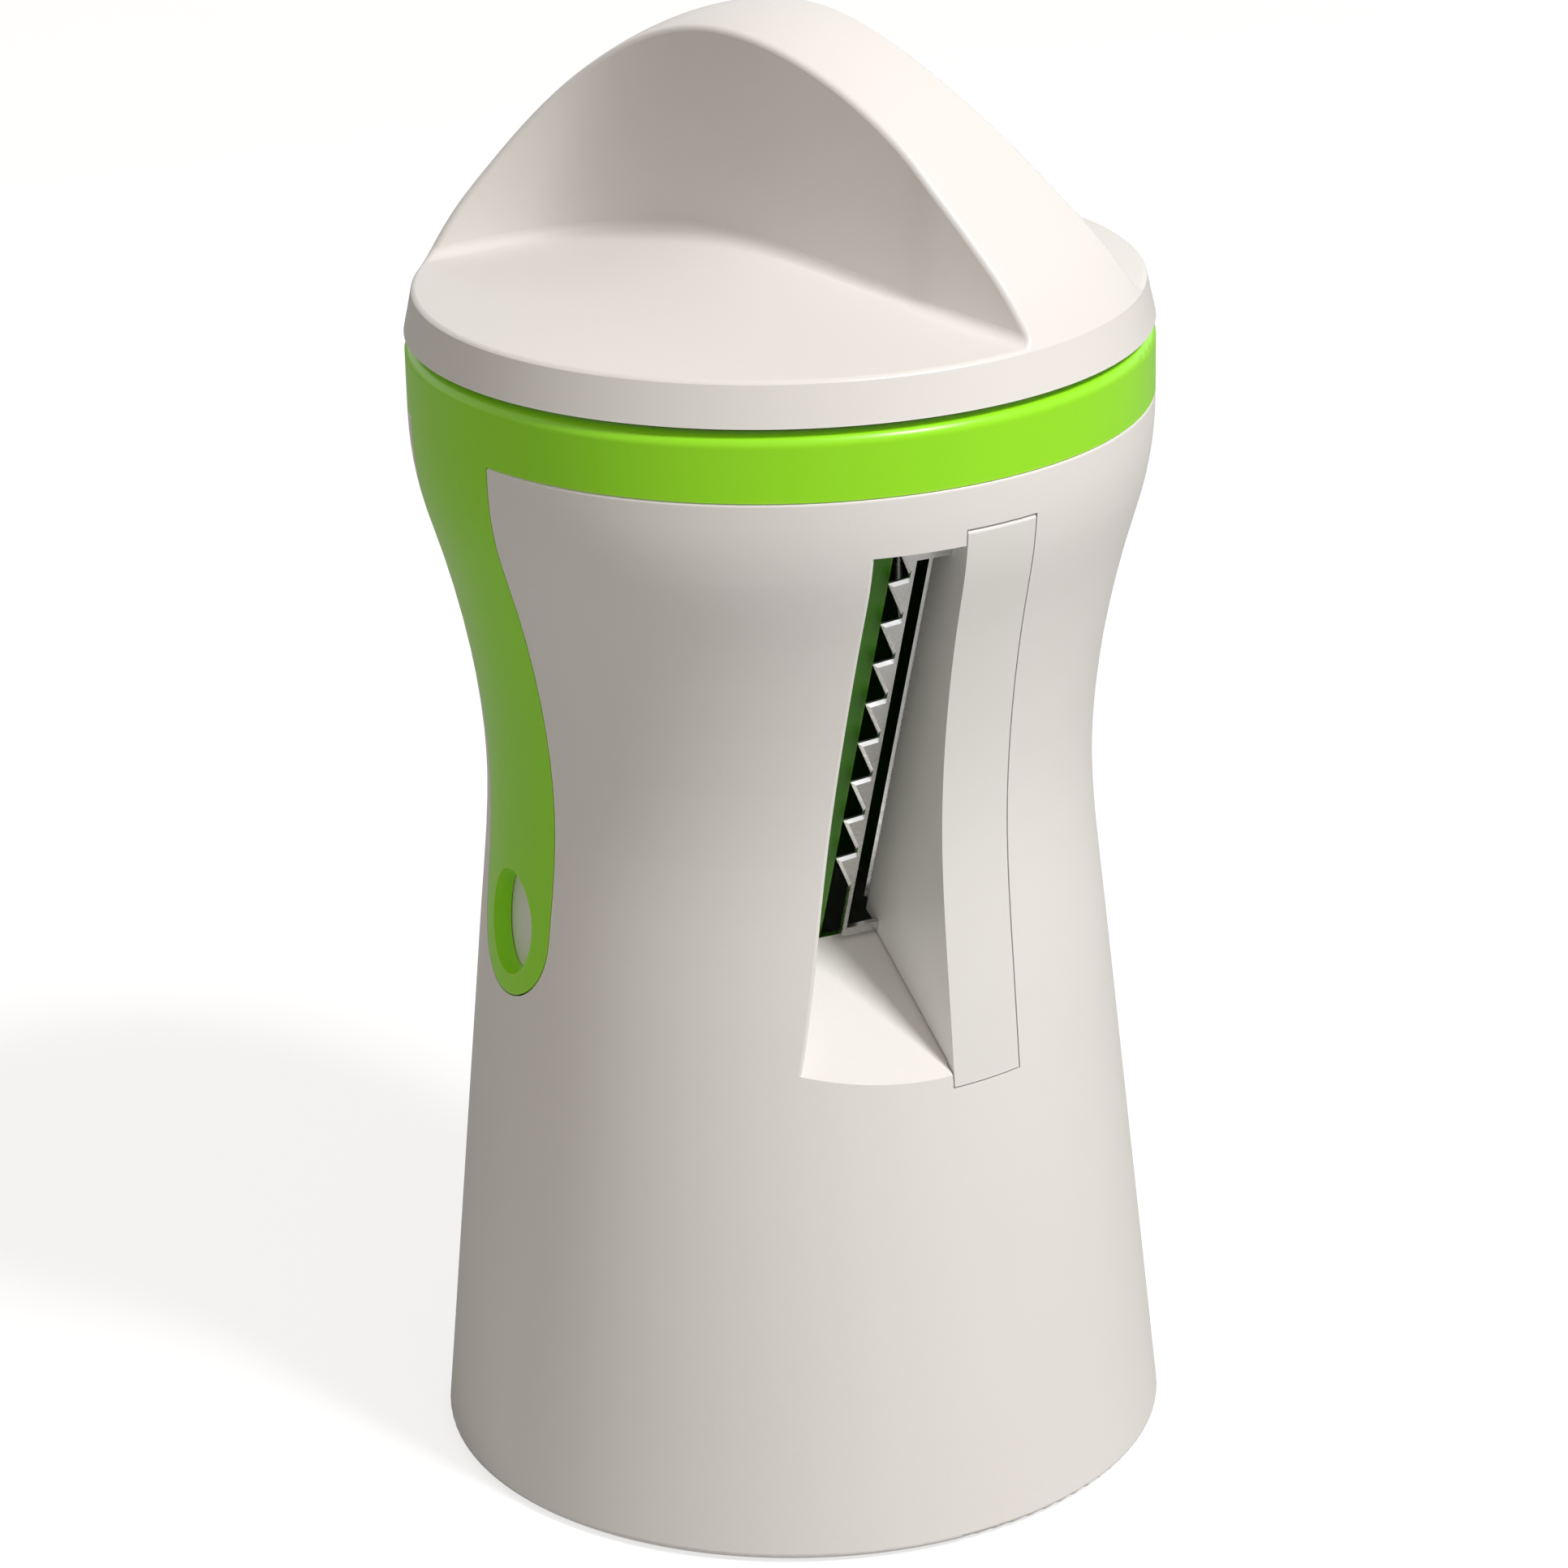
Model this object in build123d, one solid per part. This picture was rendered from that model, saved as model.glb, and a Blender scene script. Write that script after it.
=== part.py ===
from build123d import *
import os
from math import cos, radians, sin, tan

# Hand-held spiral slicer: an hourglass body with an outlet window and a pull-out blade
# cassette, a green collar with two side tongues, a funnel, and a lid with a dome-shaped knob.
# Millimetres. +Z is up, the base is centred on the origin, and the outlet window faces -Y.

# ---- driving dimensions ------------------------------------------------------------------

# clearances
running_gap = 0.05       # shaft in its bush, screw in its hole, bush in its bore
loose_gap = 0.3          # between pieces that slide past or turn over each other
seam_gap = 0.2           # around an inlaid piece
seat_gap = 0.1           # behind an inlaid piece

# body shell
body_foot = 0.5          # the shell's lower edge stands this far off the table
body_top = 128.0
base_radius = 43.2
rim_radius = 42.5
cone_top_height = 64.0   # the lower cone ends here and the waist begins
cone_top_setback = 6.36  # from the base's radius
waist_height = 86.0
waist_setback = 7.2      # from the rim's radius
flare_drop = 16.0        # from the body's top
flare_setback = 2.8      # from the rim's radius
shell_wall = 2.2
rim_edge_radius = 0.4
foot_edge_radius = 0.7

# side tongues of the collar
tongue_thickness = 2.2
tongue_root_half_width = 10.5
tongue_half_width = 8.5
tongue_eye_height = 69.5     # centre of the round end and its eyelet
eyelet_width = 10.6
eyelet_height = 12.4
channel_backing = 1.2        # wall left behind the tongue

# collar ring
collar_height = 7.5
collar_wall = 3.2
collar_edge_radius = 1.4
collar_lip_width = 1.2

# funnel
funnel_half_angle = 20.52    # degrees
funnel_wall = 1.7
funnel_bottom = 64.0
funnel_throat_setback = 2.8  # the straight part above the cone, from the collar's inside
funnel_throat_drop = 4.1     # where the cone begins, from the body's top
funnel_flange_thickness = 1.2

# outlet window and ramp
window_drop = 7.0            # from the body's top
window_left_top = 9.2        # distances to the left of the centre plane
window_left_middle = 10.6
window_left_bottom = 16.6
window_middle_drop = 34.0
window_right = 7.0           # right side of the cut, under the cassette's flange
ramp_clearance = 0.65        # between the funnel and the ramp's inner edge
ramp_inner_height = 67.6
ramp_outer_depth = 38.0
ramp_outer_height = 56.4
ramp_thickness = 2.0
window_edge_radius = 0.4
chute_wall = 1.6

# blade cassette
cassette_left = 1.5
cassette_wall = 2.0
flange_right = 10.5
flange_bottom = 55.2
flange_rise = 1.7            # above the window's top
flange_thickness = 1.5
flange_backing = 3.3         # shell thickness behind the flange's recess
blade_low = 70.6             # heights of the cutting edge's ends
blade_drop = 9.3             # from the body's top to the upper end
blade_bite = 0.5             # the edge stands inside the funnel's wall by this much
blade_thickness = 0.6
blade_width = 5.0
blade_edge_overhang = 0.2
blade_bevel = 1.2
blade_seat_thickness = 2.4
seat_overrun = 1.5           # past each end of the blade
flange_edge_radius = 0.4
comb_thickness = 0.6
comb_strip_left = 3.2        # distances to the left of the centre plane
comb_strip_right = 2.7
comb_drop = 7.8              # from the body's top
comb_plain_end = 7.4         # strip below the lowest tooth
comb_tab_width = 1.2
comb_tab_depth = 1.2         # how far a tab goes into the cassette's side wall
comb_clearance = 0.6         # between the funnel and the comb
tooth_count = 9
tooth_length = 2.4
tooth_share = 0.9            # of the pitch that a tooth takes up
tooth_tip_drop = 0.3
tooth_bevel = 0.35
first_tooth_cut = 1.9        # height that the strip's end takes off the top tooth
funnel_slot_left = 4.6
funnel_slot_foot = 1.3       # the slot reaches this far below the blade's seat
rivet_radius = 1.0
rivet_head_radius = 1.4
rivet_head_height = 0.6
rivet_count = 3

# base
base_plate_thickness = 3.0
base_plate_height = 1.0
foot_ring_radius = 30.0
foot_ring_width = 4.0
foot_ring_height = 2.4
base_screw_count = 3
base_boss_radius = 3.6
base_boss_top = 18.0
base_boss_bite = 1.0         # how far a boss is sunk into the shell's wall
screw_radius = 1.5
screw_head_radius = 2.8
screw_head_height = 1.5
screw_length = 11.0
slot_width = 0.8
slot_depth = 0.7
base_rim_width = 3.0
base_recess_depth = 1.0

# lid
lid_gap = 0.8                # dark line between the collar and the knob's band
knob_band_height = 3.9
knob_band_draft = 1.0
knob_band_wall = 1.9
lid_plate_thickness = 3.0
lid_skirt_wall = 2.0
lid_hub_radius = 9.5
lid_hub_drop = 9.2           # from the lid's top
lid_rib_count = 6
lid_rib_thickness = 1.6
lid_rib_depth = 4.0
bush_wall = 2.0
bush_flange_radius = 9.0
bush_flange_thickness = 1.5

# knob
knob_angle = -70.7           # degrees, turn of the knob at rest from its front scoop facing -Y
knob_height = 31.3
knob_edge = 0.4              # upright land around the dome's foot
knob_fullness = 0.91         # 1 is a parabola, less is fuller
knob_wall = 2.2
grip_front = 9.0             # the front scoop's wall in front of the axis
grip_back = 5.4
scoop_corner_x = -9.6        # the wall is straight to the right of this and curls left of it
scoop_corner_radius = 29.4
scoop_fall = 6.6             # how far the wall bends back at its right end
scoop_floor_rise = 8.7       # from the knob's foot, at the middle
scoop_floor_fall = 8.0       # from the middle to the knob's edge
scoop_foot_radius = 1.2
ridge_radius = 0.7
knob_boss_radius = 8.5
knob_boss_height = 16.5
pillar_reach = 17.0
pillar_radius = 3.2
cover_radius = 23.5
cover_thickness = 1.6

# spindle and food holder
spindle_radius = 4.5
spindle_hex_radius = 5.6
spindle_hex_height = 9.0
spindle_drive_half_width = 3.0
washer_radius = 8.0
washer_thickness = 0.8
clip_radius = 6.4
clip_thickness = 0.9
clip_groove_depth = 0.8
clip_opening = 5.0
holder_drop = 10.5           # from the body's top
holder_thickness = 3.0
holder_radius = 26.0
holder_hub_radius = 8.0
holder_hub_height = 6.0
pin_circle = 18.0
pin_count = 6
pin_radius = 1.0
pin_length = 14.0
pin_point_length = 4.0
pin_tip_radius = 0.15
spike_radius = 1.7
spike_length = 19.0
spike_point_length = 9.0
spike_collar_radius = 4.2
spike_collar_height = 1.0
spike_thread_length = 8.0

# ---- derived places ----------------------------------------------------------------------

cone_top_radius = base_radius - cone_top_setback
cone_slope = cone_top_setback / cone_top_height
waist_radius = rim_radius - waist_setback
flare_radius = rim_radius - flare_setback
flare_height = body_top - flare_drop
base_screw_circle = (
    base_radius - cone_slope * base_boss_top - shell_wall - base_boss_radius + base_boss_bite
)
collar_top = body_top + collar_height
collar_inner_radius = rim_radius - collar_wall
funnel_throat_radius = collar_inner_radius - funnel_throat_setback
funnel_flange_radius = rim_radius - collar_lip_width - loose_gap
flange_seat_top = body_top + funnel_flange_thickness
window_top = body_top - window_drop
flange_top = window_top + flange_rise
blade_high = body_top - blade_drop
comb_top = body_top - comb_drop
comb_bottom = ramp_inner_height + loose_gap
band_bottom = collar_top + lid_gap
lid_top = band_bottom + knob_band_height
band_inner_radius = rim_radius - knob_band_wall
lid_hub_bottom = lid_top - lid_hub_drop
knob_bottom = lid_top + loose_gap
knob_radius = rim_radius - knob_band_draft
skirt_radius = collar_inner_radius - loose_gap
slope = tan(radians(funnel_half_angle))
wall_across = funnel_wall / cos(radians(funnel_half_angle))
throat_height = body_top - funnel_throat_drop
apex_height = throat_height - funnel_throat_radius / slope
ramp_inner_depth = (ramp_inner_height - apex_height) * slope + wall_across + ramp_clearance
bush_radius = spindle_radius + running_gap + bush_wall
cover_bottom = knob_bottom + loose_gap
cover_top = cover_bottom + cover_thickness
knob_top = knob_bottom + knob_edge + knob_height
holder_bottom = body_top - holder_drop
holder_hub_top = holder_bottom + holder_thickness + holder_hub_height
far = 4 * rim_radius         # longer than anything it has to cut


# ---- shared shapes -----------------------------------------------------------------------

def upright(face, height):
    """Prism straight up from a face drawn in X and Y."""
    return extrude(face, height, dir=(0, 0, 1))


def rod(radius, low, high):
    """Upright cylinder on the Z axis between two heights."""
    return Pos(0, 0, low) * upright(Circle(radius), high - low)


def tube(outer, inner, low, high):
    """Upright tube on the Z axis between two heights."""
    return Pos(0, 0, low) * upright(Circle(outer) - Circle(inner), high - low)


def turned(*points):
    """Solid of revolution about Z from an outline of (radius, height) points."""
    return revolve(Plane.XZ * Polygon(*points, align=None), Axis.Z)


def block(x_low, x_high, y_low, y_high, z_low, z_high):
    """Box between two corners."""
    box = Box(x_high - x_low, y_high - y_low, z_high - z_low, align=Align.MIN)
    return Pos(x_low, y_low, z_low) * box


def front_prism(face):
    """Prism through the front half of the body from an outline drawn in X and Z."""
    return extrude(Plane.XZ * face, far, dir=(0, -1, 0))


def side_prism(points, x_low, x_high):
    """Prism along X from an outline of (y, z) points."""
    face = Plane.YZ * Polygon(*points, align=None)
    return Pos(x_low, 0, 0) * extrude(face, x_high - x_low, dir=(1, 0, 0))


def ring_of(count, radius, piece):
    """Copies of a piece spread evenly on a circle about Z."""
    return [Rot(0, 0, 360 / count * i) * Pos(radius, 0, 0) * piece for i in range(count)]


def group(pieces):
    """Separate solids kept together in one node."""
    return Compound(children=[solid for piece in pieces for solid in piece.solids()])


def hourglass(inset):
    """The body's outer form, made smaller all round by an inset."""
    foot = (base_radius - cone_slope * body_foot - inset, body_foot)
    cone_top = (cone_top_radius - inset, cone_top_height)
    waist = (waist_radius - inset, waist_height)
    flare = (flare_radius - inset, flare_height)
    rim = (rim_radius - inset, body_top)
    outline = (
        Line((0, body_foot), foot)
        + Line(foot, cone_top)
        + Spline(cone_top, waist, flare, rim, tangents=[(-cone_slope, 1), (0, 1)])
        + Line(rim, (0, body_top))
        + Line((0, body_top), (0, body_foot))
    )
    return revolve(make_face(Plane.XZ * outline), Axis.Z)


def funnel_radius(height):
    """Inner radius of the funnel's cone at a height."""
    return (height - apex_height) * slope


def tongue_outline(growth):
    """Face of a side tongue, drawn in Y and Z, grown all round."""
    root, end = tongue_root_half_width + growth, tongue_half_width + growth
    taper = Polygon(
        (-root, body_top), (root, body_top), (end, tongue_eye_height), (-end, tongue_eye_height),
        align=None,
    )
    return taper + Pos(0, tongue_eye_height) * Circle(end)


def eyelet_outline():
    """Oval eyelet in the tongue's round end."""
    return Pos(0, tongue_eye_height) * Ellipse(eyelet_width / 2, eyelet_height / 2)


def both_sides(face):
    """Prisms along +X and -X from a face drawn in Y and Z."""
    right = extrude(Plane.YZ * face, far, dir=(1, 0, 0))
    return [right, Rot(0, 0, 180) * right]


# ---- outlet geometry ---------------------------------------------------------------------

ramp_slope = (ramp_inner_height - ramp_outer_height) / (ramp_outer_depth - ramp_inner_depth)


def ramp_height(depth):
    """Height of the ramp's top face at a distance in front of the axis."""
    return ramp_inner_height - ramp_slope * (depth - ramp_inner_depth)


def above_ramp(lift, x_low, x_high, inner_depth):
    """Everything over the ramp's plane, raised by lift, from an inner depth outwards."""
    return side_prism(
        [
            (-inner_depth, ramp_height(inner_depth) + lift),
            (-far, ramp_height(far) + lift),
            (-far, window_top),
            (-inner_depth, window_top),
        ],
        x_low,
        x_high,
    )


def window_outline(right, left_growth):
    """The window as seen from the front: straight right side, bowed left side."""
    low = ramp_height(rim_radius)
    top_left = (-window_left_top - left_growth, window_top)
    middle_left = (-window_left_middle - left_growth, body_top - window_middle_drop)
    bottom_left = (-window_left_bottom - left_growth, low)
    outline = (
        Line(bottom_left, (right, low))
        + Line((right, low), (right, window_top))
        + Line((right, window_top), top_left)
        + ThreePointArc(top_left, middle_left, bottom_left)
    )
    return make_face(outline)


# ---- housing -----------------------------------------------------------------------------

def outer_form(window):
    """Solid hourglass with a soft rim and foot, and the window's left edge rounded."""
    form = hourglass(0)
    form = fillet(form.edges().sort_by(Axis.Z)[-1], rim_edge_radius)
    form = fillet(form.edges().sort_by(Axis.Z)[0], foot_edge_radius)
    form -= window
    left_edge = [
        edge for edge in form.edges().filter_by(GeomType.BSPLINE)
        if edge.center().X < -window_left_top and edge.center().Y < 0
        and edge.length > (window_top - ramp_outer_height) / 2
    ]
    return fillet(left_edge, window_edge_radius)


def body_shell():
    """Hourglass wall with the outlet, the side channels, the flange's recess and screw bosses."""
    window = front_prism(window_outline(window_right, 0))
    window &= above_ramp(0, -far, far, ramp_inner_depth / 2)
    shell = outer_form(window) - hourglass(shell_wall)

    # thicker wall behind the tongues and behind the cassette's flange
    tongue_back = tongue_thickness + seat_gap + channel_backing
    tongue_layer = hourglass(shell_wall) - hourglass(tongue_back)
    for prism in both_sides(tongue_outline(seam_gap + channel_backing)):
        shell += tongue_layer & prism
    flange_layer = hourglass(shell_wall) - hourglass(flange_backing)
    flange_back = flange_layer & block(
        window_right - chute_wall, flange_right + shell_wall,
        -far, 0, flange_bottom - shell_wall, flange_top + shell_wall,
    )
    shell += flange_back - window

    # ramp and the chute's left wall
    ramp = side_prism(
        [
            (-ramp_inner_depth, ramp_inner_height),
            (-far, ramp_height(far)),
            (-far, ramp_height(far) - ramp_thickness),
            (-ramp_inner_depth, ramp_inner_height - ramp_thickness),
        ],
        -window_left_bottom - chute_wall,
        window_right + chute_wall,
    )
    shell += ramp & hourglass(shell_wall / 2)
    left_wall = front_prism(window_outline(0, chute_wall) - window_outline(chute_wall, 0))
    left_wall &= above_ramp(-ramp_thickness / 2, -far, 0, ramp_inner_depth)
    left_wall &= hourglass(shell_wall / 2)
    funnel_clear = loose_gap + wall_across
    left_wall -= turned(
        (0, 0),
        (funnel_clear, apex_height),
        (funnel_radius(body_top) + funnel_clear, body_top),
        (0, body_top),
    )
    shell += left_wall

    # channels for the tongues
    channel_layer = hourglass(-seam_gap) - hourglass(tongue_thickness + seat_gap)
    for prism in both_sides(tongue_outline(seam_gap)):
        shell -= channel_layer & prism

    # recess for the cassette's flange
    recess_layer = hourglass(-seam_gap) - hourglass(flange_thickness + seat_gap)
    shell -= recess_layer & block(
        cassette_left - seam_gap, flange_right + seam_gap,
        -far, 0, flange_bottom - seam_gap, flange_top + seam_gap,
    )

    # screw bosses for the base plate
    boss_low = base_plate_height + base_plate_thickness
    for place in screw_places():
        shell += place * rod(base_boss_radius, boss_low, base_boss_top)
        shell -= place * rod(screw_radius + running_gap, 0, base_boss_top - shell_wall)
    return shell


def collar():
    """Green ring that clamps the funnel, with a snap tongue on each side."""
    inner = collar_inner_radius
    lip = rim_radius - collar_lip_width
    ring = turned(
        (lip, body_top),
        (rim_radius, body_top),
        (rim_radius, collar_top),
        (inner, collar_top),
        (inner, flange_seat_top),
        (lip, flange_seat_top),
    )
    ring = fillet(ring.edges().group_by(Axis.Z)[-1].sort_by(SortBy.RADIUS)[-1], collar_edge_radius)
    layer = hourglass(0) - hourglass(tongue_thickness)
    for prism in both_sides(tongue_outline(0) - eyelet_outline()):
        ring += layer & prism
    return ring


def funnel():
    """Cone with a straight throat, a flange on top and the slot for the blade cassette."""
    low, top = funnel_bottom, flange_seat_top
    cone = turned(
        (funnel_radius(low), low),
        (funnel_radius(low) + wall_across, low),
        (funnel_throat_radius + funnel_wall, throat_height - (wall_across - funnel_wall) / slope),
        (funnel_throat_radius + funnel_wall, body_top),
        (funnel_flange_radius, body_top),
        (funnel_flange_radius, top),
        (funnel_throat_radius, top),
        (funnel_throat_radius, throat_height),
    )
    lean = seat_outer * sin(radians(funnel_half_angle))
    slot_low = blade_low - seat_margin - lean - funnel_slot_foot
    slot_high = blade_high + seat_margin
    return cone - block(-funnel_slot_left, window_right, -far, 0, slot_low, slot_high)


def base_plate():
    """Disc that closes the body from below, with a groove for the foot ring."""
    low, high = base_plate_height, base_plate_height + base_plate_thickness
    plate = rod(base_radius - cone_slope * high - shell_wall - seam_gap, low, high)
    ring_inner, ring_outer = foot_ring_radius - foot_ring_width, foot_ring_radius
    plate -= tube(ring_outer, ring_inner, low, foot_ring_height)
    plate -= rod(ring_inner - base_rim_width, low, low + base_recess_depth)
    for place in screw_places():
        plate -= place * rod(screw_radius + running_gap, 0, high)
        plate -= place * rod(screw_head_radius + seam_gap, 0, low + screw_head_height)
    return plate


def foot_ring():
    """Soft ring that the slicer stands on."""
    inner = foot_ring_radius - foot_ring_width + running_gap
    return tube(foot_ring_radius - running_gap, inner, 0, foot_ring_height)


def screw_places():
    """Axes of the base screws."""
    turn = 360 / base_screw_count
    start = Rot(0, 0, 90)
    return [start * Rot(0, 0, turn * i) * Pos(base_screw_circle, 0, 0)
            for i in range(base_screw_count)]


def base_screws():
    """Pan-head screws up into the shell's bosses."""
    seat = base_plate_height + screw_head_height
    head = rod(screw_head_radius, base_plate_height, seat)
    arm, half, slot_top = screw_head_radius / 2, slot_width / 2, base_plate_height + slot_depth
    head -= block(-arm, arm, -half, half, base_plate_height, slot_top)
    head -= block(-half, half, -arm, arm, base_plate_height, slot_top)
    screw = head + rod(screw_radius, seat, seat + screw_length)
    return group([place * screw for place in screw_places()])


# ---- blade cassette ----------------------------------------------------------------------

blade_middle = (blade_low + blade_high) / 2
blade_length = (blade_high - blade_low) / cos(radians(funnel_half_angle))

# Lies along the funnel's cone at the front: X to the right, Y up the cone, Z outwards.
# Zero is the cone's inner face.
cone_plane = Plane(
    origin=(0, -funnel_radius(blade_middle), blade_middle),
    x_dir=(1, 0, 0),
    z_dir=(0, -cos(radians(funnel_half_angle)), -sin(radians(funnel_half_angle))),
)


def cone_slab(x_low, x_high, y_low, y_high, out_low, out_high):
    """Flat piece lying along the cone between two distances outwards."""
    box = Box(x_high - x_low, y_high - y_low, out_high - out_low, align=Align.MIN)
    return cone_plane * Pos(x_low, y_low, out_low) * box


blade_inner = -blade_bite
blade_outer = blade_inner + blade_thickness
seat_outer = blade_outer + blade_seat_thickness
blade_left = cassette_left - blade_edge_overhang
blade_right = cassette_left + blade_width
comb_inner = wall_across + loose_gap + comb_clearance
seat_reach = blade_length / 2 + seat_overrun
seat_margin = seat_overrun + loose_gap


def rivet_rows():
    """Distances of the blade rivets along the cone from the blade's middle."""
    step = blade_length / rivet_count
    return [step * (i - (rivet_count - 1) / 2) for i in range(rivet_count)]


def rivet_x():
    """Distance of the rivets to the right of the centre plane."""
    return (cassette_left + cassette_wall + blade_right) / 2 + running_gap


def rivet_hole(y):
    """Cutter for one rivet's hole through the blade and its seat."""
    reach = seat_outer + rivet_head_height
    return cone_plane * Pos(rivet_x(), y, 0) * rod(rivet_radius + running_gap, -reach, reach)


def comb_height(height):
    """Distance along the cone from the blade's middle to a height on the comb's inner face."""
    rise = height - blade_middle + comb_inner * sin(radians(funnel_half_angle))
    return rise / cos(radians(funnel_half_angle))


def comb_tabs(growth):
    """Tabs at the comb's two ends that reach into the side wall, grown all round."""
    tabs = []
    for low in (comb_height(comb_bottom), comb_height(comb_top) - comb_tab_width):
        tabs.append(cone_slab(
            -comb_strip_left, cassette_left + comb_tab_depth + growth,
            low - growth, low + comb_tab_width + growth,
            comb_inner - growth, comb_inner + comb_thickness + growth,
        ))
    return tabs


def cassette_frame():
    """Outer flange, side wall and blade seat, with slots that hold the comb's tabs."""
    flange = hourglass(0) - hourglass(flange_thickness)
    flange &= block(cassette_left, flange_right, -far, 0, flange_bottom, flange_top)
    top_edges = flange.edges().group_by(Axis.Z)[-1].sort_by(Axis.Y)
    flange = fillet(top_edges[0], flange_edge_radius)
    wall_right = cassette_left + cassette_wall
    wall = cone_slab(cassette_left, wall_right, -far, seat_reach, blade_outer, far)
    wall += cone_slab(cassette_left, wall_right, 0, far, seat_outer, far)
    wall &= hourglass(seat_gap)
    wall &= above_ramp(loose_gap, -far, far, ramp_inner_depth + loose_gap)
    wall &= block(0, far, -far, 0, 0, window_top - loose_gap)
    seat = cone_slab(cassette_left, blade_right, -seat_reach, seat_reach, blade_outer, seat_outer)
    frame = flange + wall + seat
    for slot in comb_tabs(running_gap):
        frame -= slot
    for y in rivet_rows():
        frame -= rivet_hole(y)
    return frame


def straight_blade():
    """Long thin blade with one bevelled edge."""
    profile = Polygon(
        (blade_left, blade_inner),
        (blade_right, blade_inner),
        (blade_right, blade_outer),
        (blade_left + blade_bevel, blade_outer),
        align=None,
    )
    blade = extrude(Plane.XZ * profile, blade_length, dir=(0, -1, 0))
    blade = cone_plane * Pos(0, blade_length / 2, 0) * blade
    for y in rivet_rows():
        blade -= rivet_hole(y)
    return blade


def tooth_comb():
    """Thin strip with a row of bevelled saw teeth and a tab at each end."""
    low, high = comb_height(comb_bottom), comb_height(comb_top)
    root, tip = -comb_strip_left, -comb_strip_left - tooth_length
    toothed = high + first_tooth_cut - low - comb_plain_end
    pitch = toothed / (tooth_count - 1 + tooth_share)
    fall = pitch * tooth_share
    cut = (first_tooth_cut - tooth_tip_drop) / (fall - tooth_tip_drop)
    top = high + first_tooth_cut
    outline = [(-comb_strip_right, high), (tip + tooth_length * cut, high), (root, top - fall)]
    for _ in range(1, tooth_count):
        top -= pitch
        outline += [(root, top), (tip, top - tooth_tip_drop), (root, top - fall)]
    outline += [(root, low), (-comb_strip_right, low)]
    strip = upright(Polygon(*outline, align=None), comb_thickness)
    tooth_edges = [
        edge for edge in strip.edges().group_by(Axis.Z)[-1]
        if edge.center().X < root - tooth_length / 4
    ]
    comb = cone_plane * Pos(0, 0, comb_inner) * chamfer(tooth_edges, tooth_bevel)
    for tab in comb_tabs(0):
        comb += tab
    return comb


def blade_rivets():
    """Flush rivets through the blade and its seat, headed on the outside."""
    rivet = rod(rivet_radius, blade_inner, seat_outer) + rod(
        rivet_head_radius, seat_outer, seat_outer + rivet_head_height)
    return group([cone_plane * Pos(rivet_x(), y, 0) * rivet for y in rivet_rows()])


# ---- lid ---------------------------------------------------------------------------------

def lid_plate():
    """Plate that rests on the collar, with a skirt inside it and a hub for the bush."""
    plate_low = lid_top - lid_plate_thickness
    skirt_low = flange_seat_top + loose_gap
    edge = band_inner_radius - loose_gap
    plate = turned(
        (bush_radius + running_gap, lid_hub_bottom),
        (lid_hub_radius, lid_hub_bottom),
        (lid_hub_radius, plate_low),
        (skirt_radius - lid_skirt_wall, plate_low),
        (skirt_radius - lid_skirt_wall, skirt_low),
        (skirt_radius, skirt_low),
        (skirt_radius, collar_top + running_gap),
        (edge, collar_top + running_gap),
        (edge, lid_top),
        (bush_radius + running_gap, lid_top),
    )
    plate -= rod(bush_flange_radius + running_gap, lid_top - bush_flange_thickness, lid_top)
    rib = block(
        lid_hub_radius - running_gap, skirt_radius - lid_skirt_wall + running_gap,
        -lid_rib_thickness / 2, lid_rib_thickness / 2, plate_low - lid_rib_depth, plate_low,
    )
    for i in range(lid_rib_count):
        plate += Rot(0, 0, 360 / lid_rib_count * i) * rib
    return plate


def bearing_bush():
    """Flanged bush that the spindle turns in."""
    bore = spindle_radius + running_gap
    return turned(
        (bore, lid_hub_bottom),
        (bush_radius, lid_hub_bottom),
        (bush_radius, lid_top - bush_flange_thickness),
        (bush_flange_radius, lid_top - bush_flange_thickness),
        (bush_flange_radius, lid_top),
        (bore, lid_top),
    )


# ---- knob --------------------------------------------------------------------------------

def dome(inset, low):
    """Domed solid of revolution down to a flat face at a height."""
    radius, height = knob_radius - inset, knob_height - inset
    shares = (0, 0.25, 0.5, 0.7, 0.85, 1)
    points = [
        (radius * share, knob_bottom + knob_edge + height * (1 - share ** 2) ** knob_fullness)
        for share in shares
    ]
    outline = (
        Spline(*points, tangents=[(1, 0), (0.5, -1)])
        + Line(points[-1], (radius, low))
        + Line((radius, low), (0, low))
        + Line((0, low), points[0])
    )
    return revolve(make_face(Plane.XZ * outline), Axis.Z)


def knob_band():
    """Ring around the dome's foot that hides the lid plate's edge."""
    foot = knob_bottom + knob_edge
    return turned(
        (band_inner_radius, band_bottom),
        (rim_radius, band_bottom),
        (knob_radius, foot),
        (band_inner_radius, foot),
    )


def scoop_floor(drop):
    """Flat cone below the scoops' gently sloping floor."""
    low, top = knob_bottom - knob_wall, knob_bottom + scoop_floor_rise - drop
    reach = (top - low) * knob_radius / scoop_floor_fall
    return turned((0, low), (reach, low), (0, top))


def scoop_wall(offset, inset):
    """Plan of one scoop's wall: a curl on the left that runs into a slight bend to the right."""
    wall = inset - offset
    curl = scoop_corner_radius + inset
    points = []
    for turn in (90, 67.5, 45, 22.5):
        across, back = curl * sin(radians(turn)), curl * (1 - cos(radians(turn)))
        points.append((scoop_corner_x - across, wall - back))
    run = knob_radius + knob_wall - scoop_corner_x
    for share in (0, 1 / 3, 2 / 3, 1):
        points.append((scoop_corner_x + run * share, wall + scoop_fall * share ** 2))
    return Spline(*points, tangents=[(0, 1), (run, 2 * scoop_fall)])


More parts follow.
